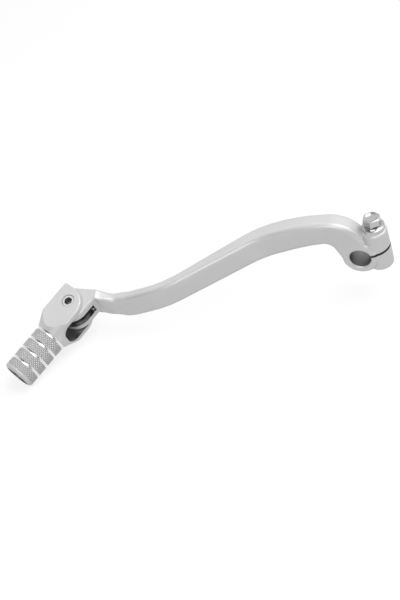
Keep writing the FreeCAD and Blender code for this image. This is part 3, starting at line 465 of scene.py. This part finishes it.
columns = DIAMONDS * FINE
work = bmesh.new()
diamond_height = work.verts.layers.float.new("diamond")
feed_angle = work.verts.layers.float.new("feed")
grid = bmesh.ops.create_grid(work, x_segments=len(rows) - 1, y_segments=columns, size=0.5)
for point in grid["verts"]:
    along, radius, diamonds = rows[round((point.co.x + 0.5) * (len(rows) - 1))]
    turn = round((point.co.y + 0.5) * columns) / columns
    height = 1.0 if diamonds is None else knurl(diamonds, turn)
    radius -= KNURL_DEPTH * (1.0 - height)
    point[diamond_height] = height
    point[feed_angle] = along * 2.0 * math.pi / TOOL_FEED
    angle = 2.0 * math.pi * turn
    point.co = Vector((along, radius * math.cos(angle), radius * math.sin(angle))) * MM
for face in work.faces:
    middle = face.calc_center_median() / MM
    bright = any(abs(middle.x - groove) < GROOVE_HALF for groove in GROOVES)
    # The hollow gets the darkest skin, as painted shade inside it.
    face.material_index = 2 if middle.yz.length < LIP_EDGE else int(bright)
bmesh.ops.transform(work, matrix=TIP, verts=work.verts)
shade(work, PEG_CREASE)
peg = piece("toe_peg", work, [knurled, turned, deep_shade], "folding_tip")
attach(peg, "tip")

# %% [markdown]
# ## Hinge: screw, bush and spring
# A headless shoulder screw goes down through the upper ear, the bush and the tongue, and is threaded in the lower
# ear. The spring is wound round the bush in the tongue's slot. One leg bears on the arm and one enters the tip.
# Round pieces are spun from half of their section, as on a lathe. At this size a thread's slope can't be told from
# plain rings, so the thread is part of that section too.


# %% Turning helpers
def turn_profile(work, profile, axis_place, steps):
    """Spin a run of (radius, height) points, in millimetres, about an upright axis."""
    points = [work.verts.new(axis_place @ (Vector((radius, 0, height)) * MM)) for radius, height in profile]
    run = [work.edges.new(pair) for pair in zip(points, points[1:])]
    axis = axis_place.to_3x3() @ Vector((0, 0, 1))
    bmesh.ops.spin(
        work, geom=points + run, cent=axis_place.translation, axis=axis, angle=2 * math.pi, steps=steps,
        use_merge=True,
    )
    bmesh.ops.remove_doubles(work, verts=work.verts, dist=WELD)


def thread_profile(radius, low, high, pitch, depth):
    """Rings that read as a screw thread, from the bottom up."""
    rings = []
    for ring in range(int((high - low) / pitch)):
        base = low + ring * pitch
        rings.append((radius, base + 0.1 * pitch))
        rings.append((radius - depth, base + 0.5 * pitch))
        rings.append((radius, base + 0.9 * pitch))
    return rings


def lift(height):
    """Move of so many millimetres along an upright axis."""
    return Matrix.Translation(Vector((0, 0, height)) * MM)


def pull(work, edges, way):
    """Draw edges out into a strip along a way in metres."""
    drawn = bmesh.ops.extrude_edge_only(work, edges=edges)["geom"]
    ends = [item for item in drawn if isinstance(item, bmesh.types.BMVert)]
    bmesh.ops.translate(work, verts=ends, vec=way)


print("turning helpers ready")

# %% [markdown]
# The screw is ground steel: a short thread, the plain shoulder that the tip turns on, and a chamfered top. It is spun
# with its top left open for the socket.

# %% Screw body
SCREW_FOOT = -9.2
SCREW_TOP = 9.2
SHOULDER_FOOT = -6.75
SCREW_STEPS = 48

work = bmesh.new()
profile = [(0.0, SCREW_FOOT), (2.6, SCREW_FOOT)]
profile += thread_profile(3.0, low=-8.8, high=-6.8, pitch=1.0, depth=0.45)
profile += [(3.0, SHOULDER_FOOT - 0.01), (3.5, SHOULDER_FOOT), (3.5, SCREW_TOP - 0.4), (3.1, SCREW_TOP)]
turn_profile(work, profile, TIP, SCREW_STEPS)
rim = open_edges(work)
print("screw rim", len(rim), "edges")

# %% [markdown]
# The hexagon socket is where the key goes in. A boolean cut would do, but it leaves long thin faces on the top. So a
# hexagon has its sides cut into eight, to have as many corners as the rim, and the two loops are bridged. The hexagon
# is then pulled down, and its floor gets a drill's point.

# %% Pivot screw
SOCKET_HALF = 2.0
SOCKET_WALL = 2.2 * MM
SOCKET_DEEP = 4.0 * MM
SOCKET_POINT = 0.8 * MM
SCREW_CREASE = 32.0

corner = SOCKET_HALF / math.cos(math.pi / 6) * MM
bmesh.ops.create_circle(work, segments=6, radius=corner, matrix=TIP @ lift(SCREW_TOP))
hexagon = [edge for edge in work.edges if not edge.link_faces]
bmesh.ops.subdivide_edges(work, edges=hexagon, cuts=SCREW_STEPS // 6 - 1)
mouth = [edge for edge in work.edges if not edge.link_faces]
bmesh.ops.bridge_loops(work, edges=rim + mouth)
pull(work, mouth, along_pivot * -SOCKET_DEEP)
socket_floor = bmesh.ops.holes_fill(work, edges=open_edges(work))["faces"]
drill_point = bmesh.ops.poke(work, faces=socket_floor)["verts"]
bmesh.ops.translate(work, verts=drill_point, vec=along_pivot * -SOCKET_POINT)
for face in work.faces:
    middle = INTO_TIP @ face.calc_center_median()
    below_rim = 0 < middle.z < (SCREW_TOP - 0.05) * MM
    # The socket's walls get the darkest skin, as painted shade.
    face.material_index = int(below_rim and middle.xy.length < SOCKET_WALL)
shade(work, SCREW_CREASE)
screw = piece("pivot_screw", work, [ground, deep_shade], "pivot_bolt")
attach(screw, "tip")

# %% [markdown]
# The bush is a plain ground sleeve, pressed in the tongue, so a joined-up copy of its solid is all it needs.

# %% Pivot bush
work = from_solid("pivot_bush")
shade(work, FORGED_CREASE)
bush = piece("pivot_sleeve", work, [ground], "pivot_bush")
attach(bush, "arm")

# %% [markdown]
# The spring is a round wire. A small circle is swept in a rising spin, which makes the coil in one go, and its two
# end loops are pulled straight for the legs.

# %% Return spring
WIRE_RADIUS = 0.7
COIL_RADIUS = 6.0
PITCH = 1.45
TURNS = 2.25
HALF_COIL = PITCH * TURNS / 2
ARM_LEG = Vector((0, 8.4, 0)) * MM
TIP_LEG = Vector((17.6, 0, 0)) * MM
WIRE_CREASE = 40.0

work = bmesh.new()
upright = Matrix.Rotation(math.pi / 2, 4, "X")
start_place = Matrix.Translation(Vector((-COIL_RADIUS, 0, -HALF_COIL)) * MM) @ upright
loop = bmesh.ops.create_circle(work, segments=16, radius=WIRE_RADIUS * MM, matrix=start_place)["verts"]
first = work.edges[:]
steps = round(TURNS * 40)
wound = bmesh.ops.spin(
    work, geom=loop + first, cent=(0, 0, 0), axis=(0, 0, 1), angle=2 * math.pi * TURNS, steps=steps,
    dvec=Vector((0, 0, PITCH * TURNS / steps)) * MM,
)
last = [item for item in wound["geom_last"] if isinstance(item, bmesh.types.BMEdge)]
pull(work, first, ARM_LEG)
pull(work, last, TIP_LEG)
bmesh.ops.holes_fill(work, edges=open_edges(work))
bmesh.ops.transform(work, matrix=TIP, verts=work.verts)
shade(work, WIRE_CREASE)
spring = piece("return_coil", work, [wire], "return_spring")
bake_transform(spring)

# %% [markdown]
# ## Clamp bolt
# A zinc plated flange bolt closes the split hub. Its head is cold formed: a hexagon, with corners cut back by a
# shallow cone and a dished top. The hexagon is a six-sided cone with equal ends. Flat cuts all round its top make the
# shallow cone, and insets sink the dish.

# %% Bolt head
BOLT = Matrix.Translation(Vector((8.3, 0, 0)) * MM)
SEAT = 15.2
FLANGE_TOP = SEAT + 1.3
HEX_LOW = FLANGE_TOP + 0.9
HEX_TALL = 4.3
HEX_HALF = 4.0
CONE_RADIUS = 3.8
CONE_TILT = math.radians(28.0)
CONE_CUTS = 36
HEAD_SLACK = 0.0001 * MM
DISH = [(0.45, 0.0), (0.35, -0.3), (0.7, -0.35)]

work = bmesh.new()
corner = HEX_HALF / math.cos(math.pi / 6) * MM
bmesh.ops.create_cone(
    work, cap_ends=True, segments=6, radius1=corner, radius2=corner, depth=HEX_TALL * MM,
    matrix=lift(HEX_LOW + HEX_TALL / 2),
)
for step in range(CONE_CUTS):
    turn = math.radians(360.0 / CONE_CUTS * step)
    outwards = Vector((math.cos(turn), math.sin(turn), 0))
    slope = outwards * math.sin(CONE_TILT) + Vector((0, 0, math.cos(CONE_TILT)))
    start = (outwards * CONE_RADIUS + Vector((0, 0, HEX_LOW + HEX_TALL))) * MM
    bmesh.ops.bisect_plane(
        work, geom=everything(work), dist=HEAD_SLACK, plane_co=start, plane_no=slope, clear_outer=True,
    )
    bmesh.ops.holes_fill(work, edges=open_edges(work))
work.normal_update()
top = [max(work.faces, key=lambda face: face.calc_center_median().z)]
for across, down in DISH:
    bmesh.ops.inset_region(work, faces=top, thickness=across * MM, depth=down * MM, use_even_offset=True)
print("bolt head", len(work.faces), "faces")

# %% [markdown]
# Below the hexagon the bolt is round: the flange with its sloped top, the plain shank and the thread. They are spun
# in one go from half of their section, which starts at the bolt's foot and ends just inside the hexagon.

# %% Clamp bolt
BOLT_FOOT = -8.7
BOLT_RADIUS = 2.5
BOLT_STEPS = 60
BOLT_CREASE = 30.0

profile = [(0.0, BOLT_FOOT), (2.0, BOLT_FOOT), (2.4, BOLT_FOOT + 0.4)]
profile += thread_profile(BOLT_RADIUS, low=-8.2, high=10.6, pitch=0.8, depth=0.35)
profile += [(BOLT_RADIUS, 11.0), (BOLT_RADIUS, SEAT)]
profile += [(5.6, SEAT), (5.85, SEAT + 0.2), (5.9, SEAT + 0.6), (5.8, FLANGE_TOP - 0.1), (5.6, FLANGE_TOP)]
profile += [(4.75, HEX_LOW), (3.9, HEX_LOW + 0.05), (0.0, HEX_LOW + 0.05)]
turn_profile(work, profile, Matrix.Identity(4), BOLT_STEPS)
bmesh.ops.transform(work, matrix=BOLT, verts=work.verts)
shade(work, BOLT_CREASE)
bolt = piece("clamp_bolt", work, [plated], "pinch_bolt")
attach(bolt, "arm")

# %% [markdown]
# ## Floor, light and camera
# The lever lies over a plain white floor, one flat face just under its lowest point. It belongs to the stage and not
# to the lever.

# %% Floor
FLOOR_HALF = 2.0
FLOOR_GAP = 0.0002
floor_level = cad_box[0][2] - FLOOR_GAP

work = bmesh.new()
bmesh.ops.create_grid(work, x_segments=1, y_segments=1, size=FLOOR_HALF)
bmesh.ops.translate(work, verts=work.verts, vec=(0, 0, floor_level))
data = bpy.data.meshes.new("floor")
work.to_mesh(data)
work.free()
floor = bpy.data.objects.new("floor", data)
bpy.context.scene.collection.objects.link(floor)
print("floor at", round(floor_level, 4))

# %% [markdown]
# For the camera and for polished metal the floor glows to white, as paper in a studio does, but it sends little light
# back, so that the lever's undersides stay dark and it keeps a shadow. More light would also whiten the floor, but it
# would bleach the lever.

# %% White paper
FLOOR_TONE = 0.3
FLOOR_GLOW = 0.76


def combine(tree, operation, first, second):
    """Math node of two values, each a socket or a plain number."""
    node = tree.nodes.new("ShaderNodeMath")
    node.operation = operation
    for socket, value in zip(node.inputs, (first, second)):
        if isinstance(value, float):
            socket.default_value = value
        else:
            tree.links.new(value, socket)
    return node.outputs[0]


paper = bpy.data.materials.new("white_paper")
paper.use_nodes = True
nodes = paper.node_tree.nodes
links = paper.node_tree.links
nodes.remove(nodes["Principled BSDF"])
matte = nodes.new("ShaderNodeBsdfDiffuse")
matte.inputs["Color"].default_value = (FLOOR_TONE, FLOOR_TONE, FLOOR_TONE, 1.0)
glow = nodes.new("ShaderNodeEmission")
seen = nodes.new("ShaderNodeLightPath").outputs
either = combine(paper.node_tree, "MAXIMUM", seen["Is Camera Ray"], seen["Is Glossy Ray"])
links.new(combine(paper.node_tree, "MULTIPLY", either, FLOOR_GLOW), glow.inputs["Strength"])
both = nodes.new("ShaderNodeAddShader")
links.new(matte.outputs[0], both.inputs[0])
links.new(glow.outputs[0], both.inputs[1])
links.new(both.outputs[0], nodes["Material Output"].inputs["Surface"])
data.materials.append(paper)
print("paper nodes", len(nodes))

# %% [markdown]
# The world adds a soft fill. The camera sees it as white, and polished metal sees it white behind the lever and dim
# on the camera's side. That is how a light tent with an open front looks, and it draws the dark lines in the bolt and
# the grooves.

# %% World
FILL = 0.35
OPEN_FRONT = 0.12
FRONT_ENDS = -0.5
BACK_STARTS = 0.2

world = bpy.data.worlds.new("studio")
bpy.context.scene.world = world
world.use_nodes = True
nodes = world.node_tree.nodes
links = world.node_tree.links
sky = nodes["Background"]
sky.inputs["Color"].default_value = (1.0, 1.0, 1.0, 1.0)
seen = nodes.new("ShaderNodeLightPath").outputs
direction = nodes.new("ShaderNodeTexCoord")
compass = nodes.new("ShaderNodeSeparateXYZ")
links.new(direction.outputs["Generated"], compass.inputs[0])
tent = nodes.new("ShaderNodeMapRange")
tent.inputs["From Min"].default_value = FRONT_ENDS
tent.inputs["From Max"].default_value = BACK_STARTS
tent.inputs["To Min"].default_value = OPEN_FRONT
tent.inputs["To Max"].default_value = 1.0
links.new(compass.outputs["Y"], tent.inputs["Value"])
mirrored = combine(world.node_tree, "MULTIPLY", seen["Is Glossy Ray"], tent.outputs["Result"])
filled = combine(world.node_tree, "MULTIPLY", seen["Is Diffuse Ray"], FILL)
unseen = combine(world.node_tree, "MAXIMUM", mirrored, filled)
shown = combine(world.node_tree, "MAXIMUM", seen["Is Camera Ray"], unseen)
links.new(shown, sky.inputs["Strength"])
print("world fill", FILL)

# %% [markdown]
# One broad lamp hangs over the lever, a little to the hub's side, and a weaker one stands by the camera. Small lamps
# would draw hard glints and shadows. Soft boxes of nearly a metre leave the satin skin its broad, even highlights.

# %% Lamps
MIDDLE = (-0.082, -0.027, -0.007)


def lamp(name, place, target, size, power):
    """Square soft box of so many metres a side, turned to its target."""
    data = bpy.data.lights.new(name, "AREA")
    data.shape = "SQUARE"
    data.size = size
    data.energy = power
    made = bpy.data.objects.new(name, data)
    made.location = place
    made.rotation_euler = (Vector(target) - Vector(place)).to_track_quat("-Z", "Y").to_euler()
    bpy.context.scene.collection.objects.link(made)


lamp("overhead", (0.35, 0.05, 0.85), MIDDLE, size=0.9, power=5.8)
lamp("front", (0.0, -0.78, 0.6), MIDDLE, size=0.7, power=3.3)
print("lamps", len(bpy.data.lights))

# %% [markdown]
# The camera looks down on the lever from the rider's side and is rolled a little, so that the arm lies across the
# picture. A long lens from nearly a metre keeps the lever free of strong perspective.

# %% Camera
AIM = Vector((-82.35, -27.40, -7.41)) * MM
DISTANCE = 0.9
AZIMUTH = math.radians(26.5)
ELEVATION = math.radians(41.5)
ROLL = math.radians(19.0)

view = bpy.data.cameras.new("view")
view.lens = 105.3
view.sensor_width = 36.0
view.clip_start = 0.01
camera = bpy.data.objects.new("view", view)
level_right = Vector((math.cos(AZIMUTH), math.sin(AZIMUTH), 0))
level_back = Vector((math.sin(AZIMUTH), -math.cos(AZIMUTH), 0))
back = level_back * math.cos(ELEVATION) + Vector((0, 0, math.sin(ELEVATION)))
level_up = back.cross(level_right)
right = math.cos(ROLL) * level_right - math.sin(ROLL) * level_up
up = math.sin(ROLL) * level_right + math.cos(ROLL) * level_up
stand = Matrix((right, up, back)).transposed().to_4x4()
stand.translation = AIM + back * DISTANCE
camera.matrix_world = stand
bpy.context.scene.collection.objects.link(camera)
bpy.context.scene.camera = camera
bpy.context.scene.view_settings.view_transform = "Standard"
print("camera", tuple(round(part, 3) for part in stand.translation))
